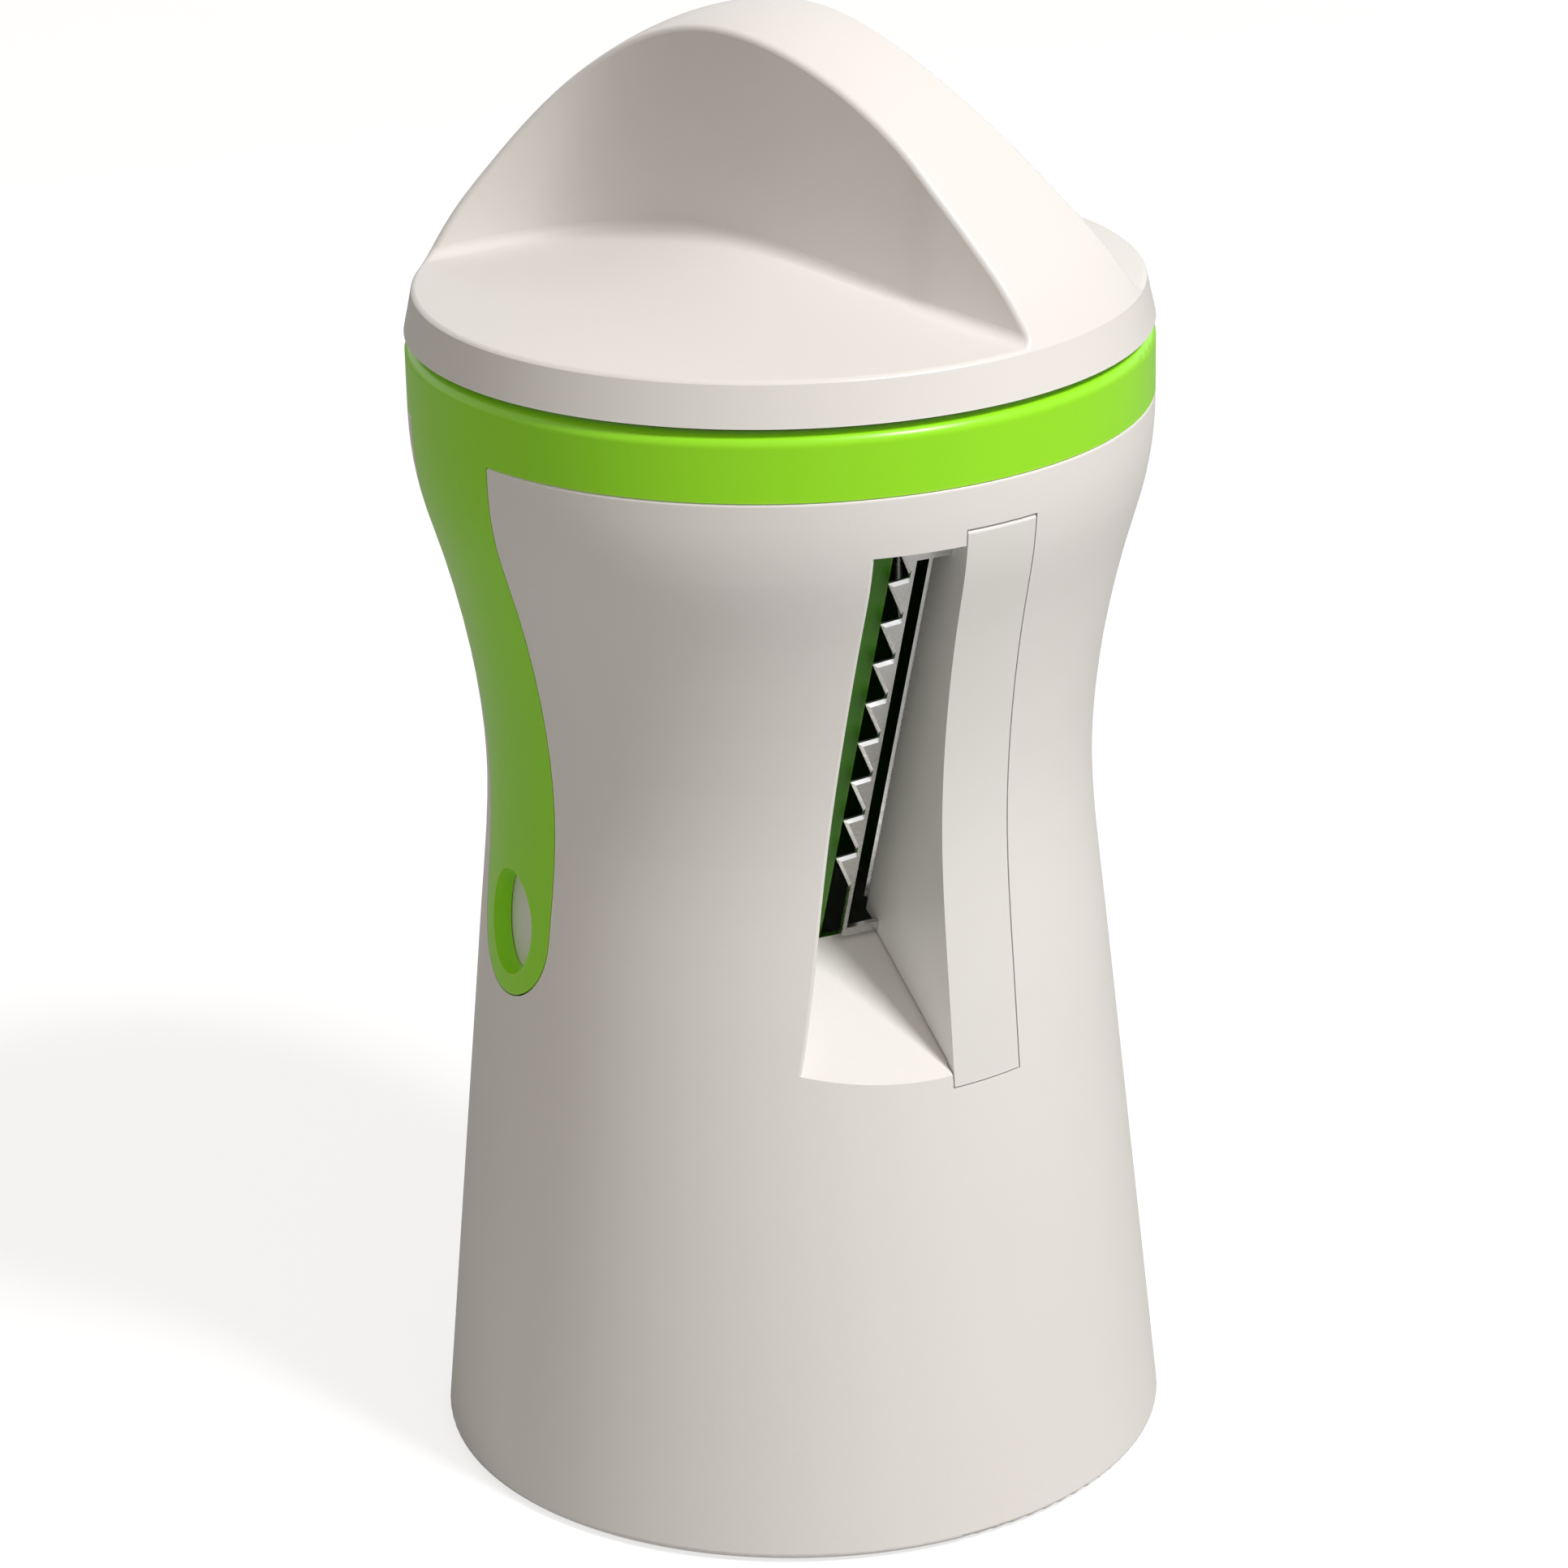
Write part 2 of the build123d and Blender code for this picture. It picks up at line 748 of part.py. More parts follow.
def grip(inset):
    """Upright prism between the two scoops' walls, moved inwards by inset."""
    front = scoop_wall(grip_front, inset)
    back = Rot(0, 0, 180) * scoop_wall(grip_back, inset)
    side = 2 * knob_radius
    right = Polyline(front @ 1, (side, (front @ 1).Y), (side, (back @ 0).Y), back @ 0)
    left = Polyline(back @ 1, (-side, (back @ 1).Y), (-side, (front @ 0).Y), front @ 0)
    plan = make_face(front + right + back + left)
    return Pos(0, 0, knob_bottom - knob_wall) * upright(plan, 2 * knob_height)


def grip_and_floor(inset):
    """What the two thumb scoops leave standing: the grip across and the floor under them."""
    return grip(inset) + scoop_floor(inset)


def rounded_dome():
    """Dome with the scoops, the scoops' feet and the grip's two ridges rounded."""
    kept = grip_and_floor(0)
    feet = [edge for edge in kept.edges().filter_by(GeomType.BSPLINE) if edge.center().Z > knob_bottom]
    form = dome(0, knob_bottom) & fillet(feet, scoop_foot_radius)
    middle = knob_bottom + knob_height / 2
    long_edges = form.edges().filter_by(lambda edge: edge.length > knob_radius)
    ridges = [edge for edge in long_edges if edge.center().Z > middle and abs(edge.center().Y) > 1]
    return fillet(ridges, ridge_radius)


def pillar_places():
    """Axes of the two pillars inside the grip."""
    middle = (grip_front - grip_back) / -2
    return [Pos(side * pillar_reach, middle, 0) for side in (-1, 1)]


def knob_shell():
    """Dome with a band round its foot and two thumb scoops beside a grip, hollow underneath."""
    outer = rounded_dome()
    hollow = dome(knob_wall, knob_bottom - knob_wall) & grip_and_floor(knob_wall)
    shell = outer + knob_band() - hollow
    shell += rod(knob_boss_radius, knob_bottom, knob_bottom + knob_boss_height) & outer
    for place in pillar_places():
        shell += (place * rod(pillar_radius, knob_bottom, knob_top)) & outer
    shell -= rod(cover_radius + seam_gap, knob_bottom - knob_wall, cover_top)
    shell -= Pos(0, 0, cover_top) * upright(hex_face(seat_gap), spindle_hex_height + loose_gap)
    for place in pillar_places():
        shell -= place * rod(screw_radius + running_gap, cover_top, cover_top + screw_length)
    return shell


def hex_face(growth):
    """Section of the spindle's six-sided head."""
    return RegularPolygon(spindle_hex_radius + growth, 6)


def knob_cover():
    """Disc screwed under the knob that traps the spindle's head."""
    cover = rod(cover_radius, cover_bottom, cover_top)
    cover -= rod(spindle_radius + running_gap, cover_bottom, cover_top)
    for place in pillar_places():
        cover -= place * rod(screw_radius + running_gap, cover_bottom, cover_top)
        cover -= place * Pos(0, 0, cover_bottom) * Cone(
            screw_head_radius + seam_gap, screw_radius + running_gap, cover_thickness - running_gap,
            align=(Align.CENTER, Align.CENTER, Align.MIN))
    return cover


def knob_screws():
    """Countersunk screws up through the cover into the pillars."""
    head = Pos(0, 0, cover_bottom) * Cone(
        screw_head_radius, screw_radius, cover_thickness - seam_gap,
        align=(Align.CENTER, Align.CENTER, Align.MIN))
    screw = head + rod(screw_radius, cover_bottom + seam_gap, cover_top + screw_length - seat_gap)
    return group([place * screw for place in pillar_places()])


def drive_spindle():
    """Shaft from the knob down to the food holder, with a six-sided head and a square end."""
    groove_top = lid_hub_bottom - loose_gap - washer_thickness
    shaft = rod(spindle_radius, holder_hub_top, cover_top)
    shaft -= tube(2 * spindle_radius, spindle_radius - clip_groove_depth,
                  groove_top - clip_thickness - running_gap, groove_top + running_gap)
    shaft += Pos(0, 0, cover_top) * upright(hex_face(0), spindle_hex_height)
    side = 2 * spindle_drive_half_width
    shaft += Pos(0, 0, holder_bottom) * upright(Rectangle(side, side), holder_hub_top - holder_bottom)
    hole_top = holder_bottom + spike_thread_length + seat_gap
    return shaft - rod(spike_radius + running_gap, holder_bottom, hole_top)


def thrust_washer():
    """Washer under the lid's hub."""
    top = lid_hub_bottom - loose_gap
    return tube(washer_radius, spindle_radius + running_gap, top - washer_thickness, top)


def circlip():
    """Open spring ring in the spindle's groove."""
    top = lid_hub_bottom - loose_gap - washer_thickness
    inner = spindle_radius - clip_groove_depth + running_gap
    ring = tube(clip_radius, inner, top - clip_thickness, top)
    return ring - block(0, far, -clip_opening / 2, clip_opening / 2, 0, far)


def holder_disc():
    """Disc that presses on the vegetable, with a square socket for the spindle."""
    disc = rod(holder_radius, holder_bottom, holder_bottom + holder_thickness)
    disc += rod(holder_hub_radius, holder_bottom, holder_hub_top)
    side = 2 * (spindle_drive_half_width + running_gap)
    disc -= Pos(0, 0, holder_bottom) * upright(Rectangle(side, side), holder_hub_top - holder_bottom)
    for piece in ring_of(pin_count, pin_circle, rod(pin_radius + running_gap, 0, far)):
        disc -= piece
    return disc


def holder_pins():
    """Pointed pins pressed into the holder disc."""
    tip = holder_bottom - pin_length
    pin = rod(pin_radius, tip + pin_point_length, holder_bottom + holder_thickness)
    pin += Pos(0, 0, tip) * Cone(pin_tip_radius, pin_radius, pin_point_length,
                                 align=(Align.CENTER, Align.CENTER, Align.MIN))
    return group(ring_of(pin_count, pin_circle, pin))


def centre_spike():
    """Long centre point that also screws the holder disc to the spindle."""
    tip = holder_bottom - spike_length
    spike = Pos(0, 0, tip) * Cone(pin_tip_radius, spike_radius, spike_point_length,
                                  align=(Align.CENTER, Align.CENTER, Align.MIN))
    spike += rod(spike_radius, tip + spike_point_length, holder_bottom + spike_thread_length)
    spike += rod(spike_collar_radius, holder_bottom - spike_collar_height, holder_bottom)
    return spike


# ---- write every node --------------------------------------------------------------------

def turned_knob(shape):
    """The knob and what turns with it, at its resting angle."""
    return Rot(0, 0, knob_angle) * shape


nodes = {
    "body_shell": body_shell(),
    "collar": collar(),
    "funnel": funnel(),
    "base_plate": base_plate(),
    "foot_ring": foot_ring(),
    "base_screws": base_screws(),
    "cassette_frame": cassette_frame(),
    "straight_blade": straight_blade(),
    "tooth_comb": tooth_comb(),
    "blade_rivets": blade_rivets(),
    "lid_plate": lid_plate(),
    "bearing_bush": bearing_bush(),
    "knob_shell": turned_knob(knob_shell()),
    "knob_cover": turned_knob(knob_cover()),
    "knob_screws": turned_knob(knob_screws()),
    "drive_spindle": turned_knob(drive_spindle()),
    "thrust_washer": turned_knob(thrust_washer()),
    "circlip": turned_knob(circlip()),
    "holder_disc": turned_knob(holder_disc()),
    "holder_pins": turned_knob(holder_pins()),
    "centre_spike": turned_knob(centre_spike()),
}

os.makedirs("parts", exist_ok=True)
for name, shape in nodes.items():
    export_step(shape, f"parts/{name}.step")
    print(name, len(shape.solids()), round(shape.volume, 1))
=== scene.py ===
"""Spiral slicer with a domed knob: materials, floor, studio light and camera."""

from math import cos, radians, sin

import bpy
from mathutils import Matrix, Vector

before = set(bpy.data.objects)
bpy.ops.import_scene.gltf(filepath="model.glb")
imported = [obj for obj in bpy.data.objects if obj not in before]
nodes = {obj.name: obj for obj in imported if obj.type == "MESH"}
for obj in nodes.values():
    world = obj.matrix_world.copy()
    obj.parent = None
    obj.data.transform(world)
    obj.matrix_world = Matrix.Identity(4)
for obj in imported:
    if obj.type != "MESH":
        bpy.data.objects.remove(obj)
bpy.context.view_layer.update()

MM = 0.001

# colour sockets of a Mix node that is set to RGBA
MIX_BASE, MIX_TOWARDS, MIX_RESULT = 6, 7, 2

# floor and surroundings
WHITE = (1.0, 1.0, 1.0, 1)
FLOOR_SIZE = 12.0
FLOOR_ROUGHNESS = 0.8
FLOOR_LIFT = 0.72                      # added for the camera alone, so that the floor reads as white
PAPER_SHADE, PAPER_LIGHT = (0.44, 0.44, 0.44, 1), (0.47, 0.47, 0.47, 1)
AMBIENT = 0.33
AMBIENT_WARMTH = (1.0, 0.905, 0.82, 1)

# lamps
CAMERA_SIDE = -116.0                   # degrees from +X
LAMP_AIM = Vector((0, 0, 0.085))       # about half of the slicer's height
LAMP_WHITE = (1.0, 0.99, 0.975)

# camera
CAMERA_PLACE = Vector((-0.25885, -0.53073, 0.31012))
CAMERA_HEADING = -25.931               # degrees from looking along +Y
CAMERA_DOWN = 21.34                    # degrees
CAMERA_ROLL = -1.307                   # degrees
CAMERA_LENS, CAMERA_SENSOR = 124.44, 36.0
NEAREST_SEEN = 0.05


# ---- nodes that the groups and materials are made of -----------------------------------------

def feed(tree, socket, value):
    """Set an input socket to a plain value, or link it to another node's output."""
    if isinstance(value, bpy.types.NodeSocket):
        tree.links.new(value, socket)
    else:
        socket.default_value = value


def object_coordinates(tree):
    return tree.nodes.new("ShaderNodeTexCoord").outputs["Object"]


def noise(tree, vector, scale, detail=2.0, roughness=0.5):
    """Noise texture on the given coordinates; gives its value socket."""
    node = tree.nodes.new("ShaderNodeTexNoise")
    feed(tree, node.inputs["Vector"], vector)
    feed(tree, node.inputs["Scale"], scale)
    feed(tree, node.inputs["Detail"], detail)
    feed(tree, node.inputs["Roughness"], roughness)
    return node.outputs["Fac"]


def spread(tree, value, low, high, to_low=0.0, to_high=1.0):
    """Map a value's range onto another, clamped."""
    node = tree.nodes.new("ShaderNodeMapRange")
    feed(tree, node.inputs["Value"], value)
    feed(tree, node.inputs["From Min"], low)
    feed(tree, node.inputs["From Max"], high)
    feed(tree, node.inputs["To Min"], to_low)
    feed(tree, node.inputs["To Max"], to_high)
    return node.outputs["Result"]


def combine(tree, operation, first, second):
    """One maths node; either side may be a number or a socket."""
    node = tree.nodes.new("ShaderNodeMath")
    node.operation = operation
    feed(tree, node.inputs[0], first)
    feed(tree, node.inputs[1], second)
    return node.outputs["Value"]


def tint(tree, amount, base, towards):
    """Colour moved from base to another colour by an amount socket."""
    node = tree.nodes.new("ShaderNodeMix")
    node.data_type = "RGBA"
    feed(tree, node.inputs["Factor"], amount)
    feed(tree, node.inputs[MIX_BASE], base)
    feed(tree, node.inputs[MIX_TOWARDS], towards)
    return node.outputs[MIX_RESULT]


def bump(tree, height, distance, strength, under=None):
    """Bump on a height socket, laid over another normal if one is given; gives its normal."""
    node = tree.nodes.new("ShaderNodeBump")
    feed(tree, node.inputs["Height"], height)
    feed(tree, node.inputs["Distance"], distance)
    feed(tree, node.inputs["Strength"], strength)
    if under is not None:
        feed(tree, node.inputs["Normal"], under)
    return node.outputs["Normal"]


# ---- node groups that several materials share ------------------------------------------------

def new_group(name, inputs, outputs):
    """An empty shader node group with named sockets; gives the group, its input and its output."""
    group = bpy.data.node_groups.new(name, "ShaderNodeTree")
    for label, kind, value in inputs:
        socket = group.interface.new_socket(label, in_out="INPUT", socket_type=kind)
        socket.default_value = value
    for label, kind in outputs:
        group.interface.new_socket(label, in_out="OUTPUT", socket_type=kind)
    return group, group.nodes.new("NodeGroupInput"), group.nodes.new("NodeGroupOutput")


SURFACE_OUTPUTS = [
    ("Colour", "NodeSocketColor"),
    ("Roughness", "NodeSocketFloat"),
    ("Normal", "NodeSocketVector"),
]


def make_arris_wear_and_highlight():
    """Mask of the rubbed, slightly polished arrises of a moulding or a metal part, which also
    carries a painted highlight along them.
    """
    group, inside, outside = new_group(
        "arris_wear_and_highlight",
        [("Radius", "NodeSocketFloat", 0.5 * MM), ("Patchiness", "NodeSocketFloat", 90.0)],
        [("Mask", "NodeSocketFloat")],
    )
    rounded = group.nodes.new("ShaderNodeBevel")
    rounded.samples = 4
    feed(group, rounded.inputs["Radius"], inside.outputs["Radius"])
    # the rounded normal agrees with the true one on a flat face, and leaves it at an arris
    agreement = group.nodes.new("ShaderNodeVectorMath")
    agreement.operation = "DOT_PRODUCT"
    true_normal = group.nodes.new("ShaderNodeNewGeometry").outputs["Normal"]
    feed(group, agreement.inputs[0], rounded.outputs["Normal"])
    feed(group, agreement.inputs[1], true_normal)
    arris = spread(group, agreement.outputs["Value"], low=0.985, high=0.86)
    patch = noise(group, object_coordinates(group), inside.outputs["Patchiness"])
    rubbed = spread(group, patch, low=0.38, high=0.62, to_low=0.35, to_high=1.0)
    feed(group, outside.inputs["Mask"], combine(group, "MULTIPLY", arris, rubbed))
    return group


def make_moulded_surface():
    """Injection-moulded plastic: faint clouding, spark-eroded grain, sink waves, handling rubs."""
    group, inside, outside = new_group(
        "moulded_surface",
        [
            ("Colour", "NodeSocketColor", (0.8, 0.8, 0.8, 1)),
            ("Cloud colour", "NodeSocketColor", (0.7, 0.7, 0.7, 1)),
            ("Clouding", "NodeSocketFloat", 0.3),
            ("Roughness", "NodeSocketFloat", 0.4),
            ("Grain", "NodeSocketFloat", 0.2),
            ("Rubs", "NodeSocketFloat", 0.1),
        ],
        SURFACE_OUTPUTS,
    )
    place = object_coordinates(group)
    cloud = spread(group, noise(group, place, scale=22.0, detail=3.0), low=0.35, high=0.7)
    speck = spread(
        group, noise(group, place, scale=900.0, detail=1.0), low=0.68, high=0.8, to_high=0.35)
    soiling = combine(group, "ADD", cloud, speck)
    amount = combine(group, "MULTIPLY", soiling, inside.outputs["Clouding"])
    colour = tint(group, amount, inside.outputs["Colour"], inside.outputs["Cloud colour"])
    feed(group, outside.inputs["Colour"], colour)

    # rubs run across, in short fine strokes, where hands and table have been
    slanted = group.nodes.new("ShaderNodeMapping")
    slanted.inputs["Rotation"].default_value = (0.3, 0.5, 0.9)
    slanted.inputs["Scale"].default_value = (1.0, 9.0, 5.0)
    feed(group, slanted.inputs["Vector"], place)
    strokes = noise(group, slanted.outputs["Vector"], scale=160.0, detail=4.0, roughness=0.6)
    strokes = spread(group, strokes, low=0.6, high=0.68)
    where = spread(group, noise(group, place, scale=35.0), low=0.5, high=0.62)
    rub = combine(group, "MULTIPLY", strokes, where)
    rub = combine(group, "MULTIPLY", rub, inside.outputs["Rubs"])
    sheen = spread(
        group, noise(group, place, scale=48.0, detail=4.0, roughness=0.6),
        low=0.3, high=0.7, to_low=-0.035, to_high=0.035)
    roughness = combine(group, "ADD", inside.outputs["Roughness"], sheen)
    feed(group, outside.inputs["Roughness"], combine(group, "ADD", roughness, rub))

    sink = bump(
        group, noise(group, place, scale=70.0, detail=1.0), distance=0.12 * MM, strength=0.25)
    grain = bump(
        group, noise(group, place, scale=3400.0, roughness=0.6), distance=0.03 * MM,
        strength=inside.outputs["Grain"], under=sink)
    feed(group, outside.inputs["Normal"], grain)
    return group


def make_machined_steel():
    """Ground or turned steel: fine parallel scratches, slow tarnish and small stains."""
    group, inside, outside = new_group(
        "machined_steel",
        [
            ("Colour", "NodeSocketColor", (0.7, 0.7, 0.7, 1)),
            ("Tarnish colour", "NodeSocketColor", (0.5, 0.48, 0.44, 1)),
            ("Roughness", "NodeSocketFloat", 0.3),
            ("Scratch stretch", "NodeSocketVector", (1.0, 1.0, 1.0)),
            ("Scratch depth", "NodeSocketFloat", 0.4),
        ],
        SURFACE_OUTPUTS,
    )
    place = object_coordinates(group)
    tarnish = spread(
        group, noise(group, place, scale=190.0, detail=4.0, roughness=0.6),
        low=0.5, high=0.75, to_high=0.6)
    colour = tint(group, tarnish, inside.outputs["Colour"], inside.outputs["Tarnish colour"])
    feed(group, outside.inputs["Colour"], colour)

    stretched = group.nodes.new("ShaderNodeVectorMath")
    stretched.operation = "MULTIPLY"
    feed(group, stretched.inputs[0], place)
    feed(group, stretched.inputs[1], inside.outputs["Scratch stretch"])
    scratches = noise(
        group, stretched.outputs["Vector"], scale=1500.0, detail=3.0, roughness=0.65)
    uneven = spread(group, scratches, low=0.3, high=0.7, to_low=-0.08, to_high=0.1)
    roughness = combine(group, "ADD", inside.outputs["Roughness"], uneven)
    feed(group, outside.inputs["Roughness"], roughness)
    scratched = bump(
        group, scratches, distance=0.02 * MM, strength=inside.outputs["Scratch depth"])
    feed(group, outside.inputs["Normal"], scratched)
    return group


arris_wear_and_highlight = make_arris_wear_and_highlight()
moulded_surface = make_moulded_surface()
machined_steel = make_machined_steel()


# ---- materials -------------------------------------------------------------------------------

PLASTIC_IOR = 1.49
ARRIS_SMOOTHING = -0.08                # added to the roughness where an arris is rubbed
# bright colour of steel arrises: a painted highlight, with some rubbed wear
ARRIS_HIGHLIGHT = (0.86, 0.86, 0.86, 1)


def new_material(name):
    """A material with a Principled shader; gives the material, its tree and the shader."""
    material = bpy.data.materials.new(name)
    material.use_nodes = True
    tree = material.node_tree
    return material, tree, tree.nodes["Principled BSDF"]


def placed(tree, group, **values):
    """A group node in a material, with its own values; underscores stand for spaces."""
    node = tree.nodes.new("ShaderNodeGroup")
    node.node_tree = group
    for name, value in values.items():
        node.inputs[name.replace("_", " ")].default_value = value
    return node


def plastic(name, colour, cloud, clouding, roughness, grain, rubs, worn_and_highlit_colour):
    """Moulded plastic whose arrises are lightened towards a worn colour, partly as rubbed wear and
    partly as a painted highlight.
    """
    material, tree, shader = new_material(name)
    surface = placed(
        tree, moulded_surface, Colour=colour, Cloud_colour=cloud, Clouding=clouding,
        Roughness=roughness, Grain=grain, Rubs=rubs,
    )
    wear_and_highlight = placed(tree, arris_wear_and_highlight, Radius=0.5 * MM, Patchiness=90.0).outputs["Mask"]
    # arrises lighten towards the worn colour: rubbed wear and a painted highlight
    feed(tree, shader.inputs["Base Color"], tint(tree, wear_and_highlight, surface.outputs["Colour"], worn_and_highlit_colour))
    polished = combine(tree, "MULTIPLY", wear_and_highlight, ARRIS_SMOOTHING)
    worn_roughness = combine(tree, "ADD", surface.outputs["Roughness"], polished)
    feed(tree, shader.inputs["Roughness"], worn_roughness)
    feed(tree, shader.inputs["Normal"], surface.outputs["Normal"])
    shader.inputs["IOR"].default_value = PLASTIC_IOR
    return material


def steel(name, colour, tarnish, roughness, scratch_stretch, scratch_depth):
    """Bare steel with brightened arrises: a painted highlight along them, with some rubbed wear."""
    material, tree, shader = new_material(name)
    surface = placed(
        tree, machined_steel, Colour=colour, Tarnish_colour=tarnish, Roughness=roughness,
        Scratch_stretch=scratch_stretch, Scratch_depth=scratch_depth,
    )
    wear_and_highlight = placed(tree, arris_wear_and_highlight, Radius=0.15 * MM, Patchiness=400.0).outputs["Mask"]
    # arrises brighten: a painted highlight along the edges, with some rubbed wear
    highlit_colour = tint(tree, wear_and_highlight, surface.outputs["Colour"], ARRIS_HIGHLIGHT)
    feed(tree, shader.inputs["Base Color"], highlit_colour)
    feed(tree, shader.inputs["Roughness"], surface.outputs["Roughness"])
    feed(tree, shader.inputs["Normal"], surface.outputs["Normal"])
    shader.inputs["Metallic"].default_value = 1.0
    return material


# each worn colour is lighter than its plastic: rubbed wear and a painted highlight on the arrises
white_body = plastic(
    "white_body", colour=(0.86, 0.842, 0.82, 1), cloud=(0.78, 0.745, 0.70, 1), clouding=0.22,
    roughness=0.42, grain=0.22, rubs=0.1, worn_and_highlit_colour=(0.89, 0.88, 0.86, 1))
# the lid's white is a little darker than the body's: painted shade on the brightly lit knob
white_lid = plastic(
    "white_lid", colour=(0.82, 0.80, 0.775, 1), cloud=(0.77, 0.74, 0.705, 1), clouding=0.16,
    roughness=0.34, grain=0.12, rubs=0.14, worn_and_highlit_colour=(0.88, 0.875, 0.86, 1))
cassette_white = plastic(
    "cassette_white", colour=(0.83, 0.825, 0.80, 1), cloud=(0.75, 0.745, 0.70, 1), clouding=0.22,
    roughness=0.38, grain=0.2, rubs=0.12, worn_and_highlit_colour=(0.87, 0.865, 0.845, 1))
lime_green = plastic(
    "lime_green", colour=(0.34, 0.87, 0.008, 1), cloud=(0.27, 0.74, 0.007, 1), clouding=0.3,
    roughness=0.30, grain=0.12, rubs=0.12, worn_and_highlit_colour=(0.5, 0.86, 0.08, 1))
# the funnel's green is far darker than the collar's lime: painted shade for the inside of the body,
# where little light reaches
shaded_funnel_green = plastic(
    "shaded_funnel_green", colour=(0.055, 0.24, 0.004, 1), cloud=(0.03, 0.15, 0.003, 1), clouding=0.3,
    roughness=0.42, grain=0.12, rubs=0.1, worn_and_highlit_colour=(0.14, 0.38, 0.02, 1))
acetal = plastic(
    "natural_acetal", colour=(0.77, 0.75, 0.69, 1), cloud=(0.68, 0.65, 0.58, 1), clouding=0.3,
    roughness=0.36, grain=0.1, rubs=0.08, worn_and_highlit_colour=(0.84, 0.82, 0.77, 1))
rubber = plastic(
    "grey_rubber", colour=(0.055, 0.055, 0.058, 1), cloud=(0.10, 0.098, 0.092, 1), clouding=0.6,
    roughness=0.74, grain=0.5, rubs=0.1, worn_and_highlit_colour=(0.13, 0.13, 0.13, 1))
blade_steel = steel(
    "blade_steel", colour=(0.74, 0.74, 0.74, 1), tarnish=(0.62, 0.62, 0.6, 1),
    roughness=0.26, scratch_stretch=(0.25, 1.0, 1.0), scratch_depth=0.18)
screw_steel = steel(
    "steel_screw", colour=(0.60, 0.60, 0.61, 1), tarnish=(0.42, 0.40, 0.37, 1),
    roughness=0.36, scratch_stretch=(1.0, 1.0, 0.4), scratch_depth=0.2)
shaft_steel = steel(
    "steel_shaft", colour=(0.64, 0.64, 0.65, 1), tarnish=(0.48, 0.46, 0.43, 1),
    roughness=0.28, scratch_stretch=(0.15, 0.15, 1.0), scratch_depth=0.22)

nodes_of_material = {
    white_body: ("body_shell", "base_plate"),
    cassette_white: ("cassette_frame",),
    white_lid: ("lid_plate", "knob_shell", "knob_cover", "holder_disc"),
    lime_green: ("collar",),
    shaded_funnel_green: ("funnel",),
    rubber: ("foot_ring",),
    acetal: ("bearing_bush", "thrust_washer"),
    blade_steel: ("straight_blade", "tooth_comb"),
    screw_steel: ("base_screws", "knob_screws", "blade_rivets", "circlip"),
    shaft_steel: ("drive_spindle", "holder_pins", "centre_spike"),
}
for material, names in nodes_of_material.items():
    for name in names:
        slots = nodes[name].data.materials
        slots.clear()
        slots.append(material)


# ---- floor and surroundings ------------------------------------------------------------------

def studio_floor():
    """Pale floor that reads as white to the camera and keeps the object's soft shadow."""
    bpy.ops.object.select_all(action="DESELECT")
    bpy.ops.mesh.primitive_plane_add(size=FLOOR_SIZE, location=(0, 0, 0))
    floor = bpy.context.object
    floor.name = "studio_floor"
    material, tree, shader = new_material("studio_floor")
    shader.inputs["Roughness"].default_value = FLOOR_ROUGHNESS
    paper_grain = noise(tree, object_coordinates(tree), scale=3.0)
    feed(tree, shader.inputs["Base Color"], tint(tree, paper_grain, PAPER_SHADE, PAPER_LIGHT))
    seen = tree.nodes.new("ShaderNodeLightPath").outputs["Is Camera Ray"]
    shader.inputs["Emission Color"].default_value = WHITE
    feed(tree, shader.inputs["Emission Strength"], combine(tree, "MULTIPLY", seen, FLOOR_LIFT))
    floor.data.materials.append(material)


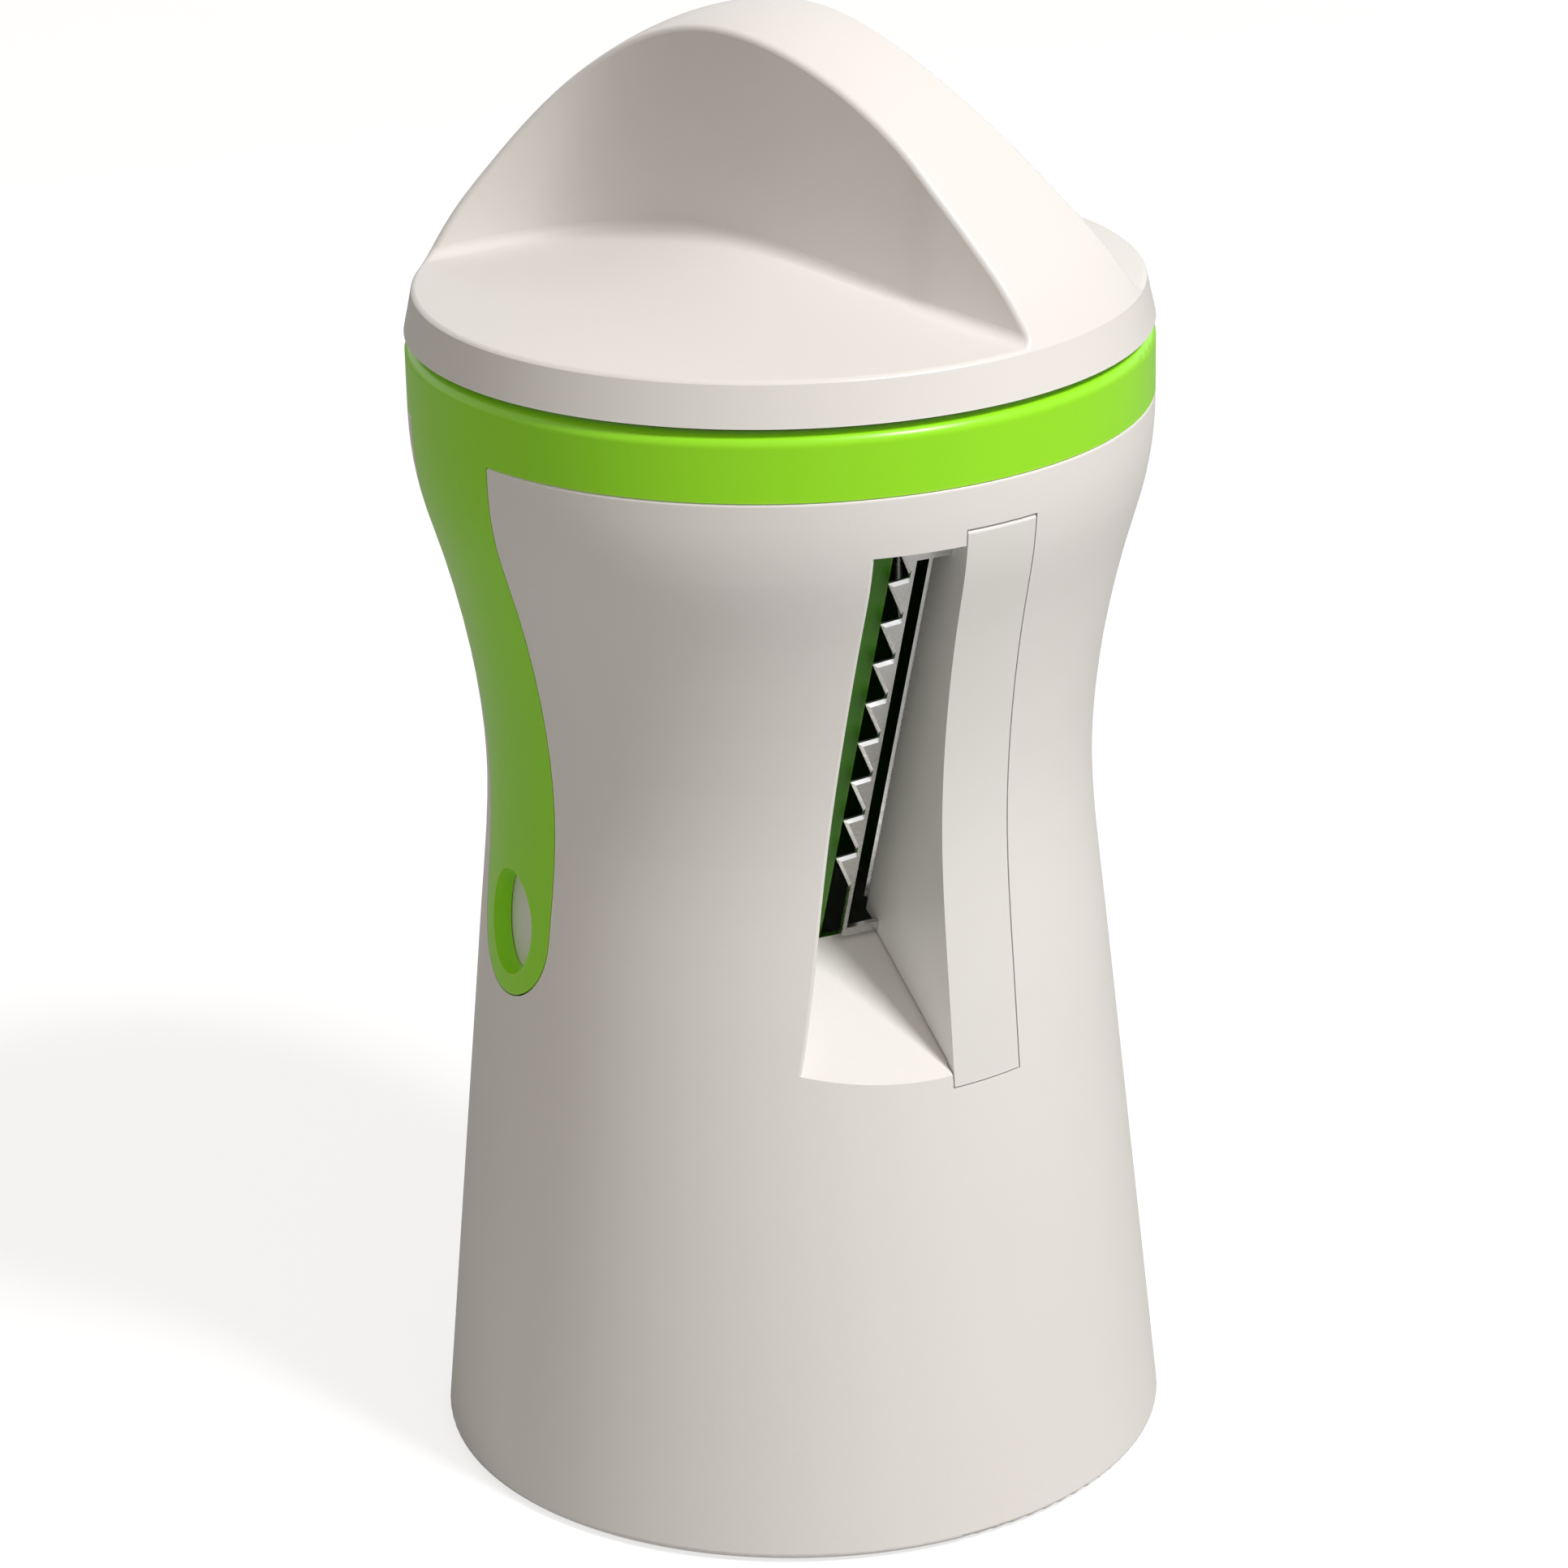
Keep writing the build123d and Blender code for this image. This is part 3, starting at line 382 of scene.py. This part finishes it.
def studio_world():
    """Even soft light all round; the camera, gloss and glass see plain white."""
    world = bpy.data.worlds.new("studio")
    bpy.context.scene.world = world
    world.use_nodes = True
    tree = world.node_tree
    background = tree.nodes["Background"]
    path = tree.nodes.new("ShaderNodeLightPath").outputs
    mirrored = combine(tree, "MAXIMUM", path["Is Glossy Ray"], path["Is Transmission Ray"])
    seen = combine(tree, "MAXIMUM", path["Is Camera Ray"], mirrored)
    feed(tree, background.inputs["Color"], tint(tree, seen, AMBIENT_WARMTH, WHITE))
    feed(tree, background.inputs["Strength"], combine(tree, "MAXIMUM", seen, AMBIENT))


def softbox(name, azimuth, elevation, distance, size, power):
    """Square lamp aimed at the slicer; azimuth from +X and elevation from the floor, in degrees."""
    lamp = bpy.data.lights.new(name, "AREA")
    lamp.size = size
    lamp.energy = power
    lamp.color = LAMP_WHITE
    holder = bpy.data.objects.new(name, lamp)
    level, turn = radians(elevation), radians(azimuth)
    away = Vector((cos(level) * cos(turn), cos(level) * sin(turn), sin(level)))
    holder.location = LAMP_AIM + distance * away
    holder.rotation_euler = away.to_track_quat("Z", "Y").to_euler()
    bpy.context.scene.collection.objects.link(holder)


studio_floor()
studio_world()
softbox("key_right", azimuth=CAMERA_SIDE + 50, elevation=50, distance=1.2, size=0.22, power=11.0)
softbox("front_fill", azimuth=CAMERA_SIDE + 10, elevation=40, distance=1.3, size=0.9, power=0.6)


# ---- camera at the photograph's angle --------------------------------------------------------

def photograph_camera():
    """Long lens looking down on the slicer from its outlet side."""
    camera = bpy.data.cameras.new("photograph")
    camera.lens = CAMERA_LENS
    camera.sensor_width = CAMERA_SENSOR
    camera.clip_start = NEAREST_SEEN
    holder = bpy.data.objects.new("photograph", camera)
    turn = (
        Matrix.Rotation(radians(CAMERA_HEADING), 4, "Z")
        @ Matrix.Rotation(radians(90) - radians(CAMERA_DOWN), 4, "X")
        @ Matrix.Rotation(radians(CAMERA_ROLL), 4, "Z")
    )
    holder.matrix_world = Matrix.Translation(CAMERA_PLACE) @ turn
    bpy.context.scene.collection.objects.link(holder)
    bpy.context.scene.camera = holder


photograph_camera()
bpy.context.scene.view_settings.view_transform = "Standard"
